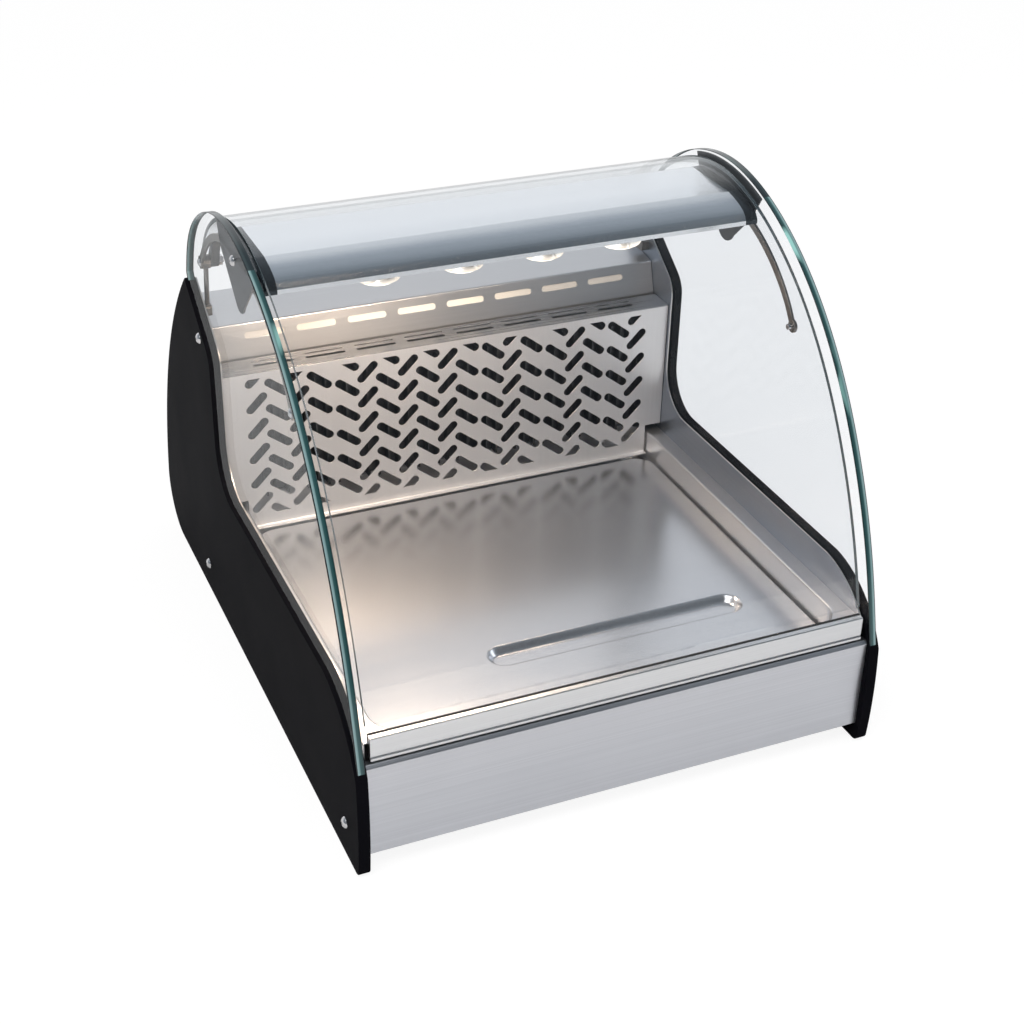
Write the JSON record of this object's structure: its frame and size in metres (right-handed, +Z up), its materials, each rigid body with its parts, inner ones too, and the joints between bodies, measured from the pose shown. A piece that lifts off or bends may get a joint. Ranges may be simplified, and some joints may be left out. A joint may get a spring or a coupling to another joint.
{
  "type": "refrigerated display case",
  "caption": "Countertop chilled food display case with curved lift-up front glass, side glass, lit canopy, perforated air panel and lift-out floor plate.",
  "frame": {"origin": "middle of the footprint, on the surface the case stands on", "axes": "+Z up, front of the case towards -Y, +X to the right seen from the front"},
  "size_m": [0.567, 0.7183, 0.514],
  "materials": {
    "black_panel": "black satin, 12 mm thick board",
    "side_glass": "clear toughened glass, 8 mm, polished edges",
    "front_glass": "clear bent glass, 5 mm",
    "liner_steel": "brushed stainless sheet",
    "sheet_steel": "plain stainless sheet",
    "front_steel": "stainless sheet brushed along its length",
    "ledge_steel": "brushed stainless angle",
    "seal_rubber": "dark seal strip",
    "well_steel": "pressed stainless sheet",
    "plate_steel": "bright brushed stainless sheet",
    "panel_steel": "perforated stainless sheet",
    "housing_steel": "folded stainless sheet",
    "opal_strip": "opal plastic, lit",
    "fin_aluminium": "thin fins on tube",
    "black_plastic": "moulded black plastic",
    "canopy_steel": "brushed stainless sheet",
    "slate_plastic": "slate grey moulding",
    "slate_paint": "slate grey powder coat",
    "lamp_chrome": "bright lamp bodies",
    "lamp_glass": "warm white lamp lenses",
    "stay_steel": "flat steel strip",
    "screw_steel": "bright dome screws",
    "dial_plate": "plain dial disc",
    "black_paint": "black enamel"
  },
  "bodies": {
    "cabinet": {"air_shelf": "panel_steel", "base_tray": "sheet_steel", "bracket_screws": "screw_steel", "cable_gland": "black_plastic", "canopy_base": "canopy_steel", "canopy_bracket_left": "slate_paint", "canopy_bracket_right": "slate_paint", "canopy_ends": "slate_plastic", "canopy_shell": "canopy_steel", "canopy_spacers": "slate_paint", "compressor": "black_paint", "condenser": "fin_aluminium", "evaporator": "fin_aluminium", "fan_frames": "black_plastic", "fan_plate": "sheet_steel", "front_panel": "front_steel", "glass_ledge": "ledge_steel", "hinge_bolts": "screw_steel", "hinge_posts": "stay_steel", "lamp_lenses": "lamp_glass", "lamp_rings": "lamp_chrome", "ledge_seal": "seal_rubber", "panel_screws": "screw_steel", "perforated_panel": "panel_steel", "rear_housing": "housing_steel", "rear_panel": "sheet_steel", "rear_screws": "screw_steel", "side_glass_left": "side_glass", "side_glass_right": "side_glass", "side_liner_left": "liner_steel", "side_liner_right": "liner_steel", "side_panel_left": "black_panel", "side_panel_right": "black_panel", "slot_diffuser": "opal_strip", "stay_left": "stay_steel", "stay_right": "stay_steel", "stay_screws": "screw_steel", "switch_frame": "black_plastic", "thermostat_dial": "dial_plate", "well": "well_steel"},
    "glass_hood": {"front_glass": "front_glass", "glass_clamps": "slate_paint"},
    "floor": {"floor_plate": "plate_steel"},
    "fan_left": {"fan_rotor_left": "black_plastic"},
    "fan_right": {"fan_rotor_right": "black_plastic"},
    "rocker": {"power_rocker": "black_plastic"},
    "knob": {"thermostat_knob": "black_plastic"}
  },
  "joints": [
    {"name": "front_glass_hinge", "type": "hinge", "parent": "cabinet", "child": "glass_hood", "pos_m": [0, 0.159, 0.415], "axis": [-1, 0, 0], "range_deg": [0, 60]},
    {"name": "floor_plate_lift", "type": "slide", "parent": "cabinet", "child": "floor", "axis": [0, 0, 1], "range_m": [0, 0.03]},
    {"name": "fan_spin_left", "type": "hinge", "parent": "cabinet", "child": "fan_left", "pos_m": [-0.12, 0.163, 0.218], "axis": [0, 1, 0], "continuous": true},
    {"name": "fan_spin_right", "type": "hinge", "parent": "cabinet", "child": "fan_right", "pos_m": [0.12, 0.163, 0.218], "axis": [0, 1, 0], "continuous": true},
    {"name": "power_rocker_press", "type": "hinge", "parent": "cabinet", "child": "rocker", "pos_m": [-0.15, 0.337, 0.055], "axis": [-1, 0, 0], "range_deg": [0, 12]},
    {"name": "thermostat_turn", "type": "hinge", "parent": "cabinet", "child": "knob", "pos_m": [-0.06, 0.343, 0.055], "axis": [0, -1, 0], "range_deg": [0, 270]}
  ]
}
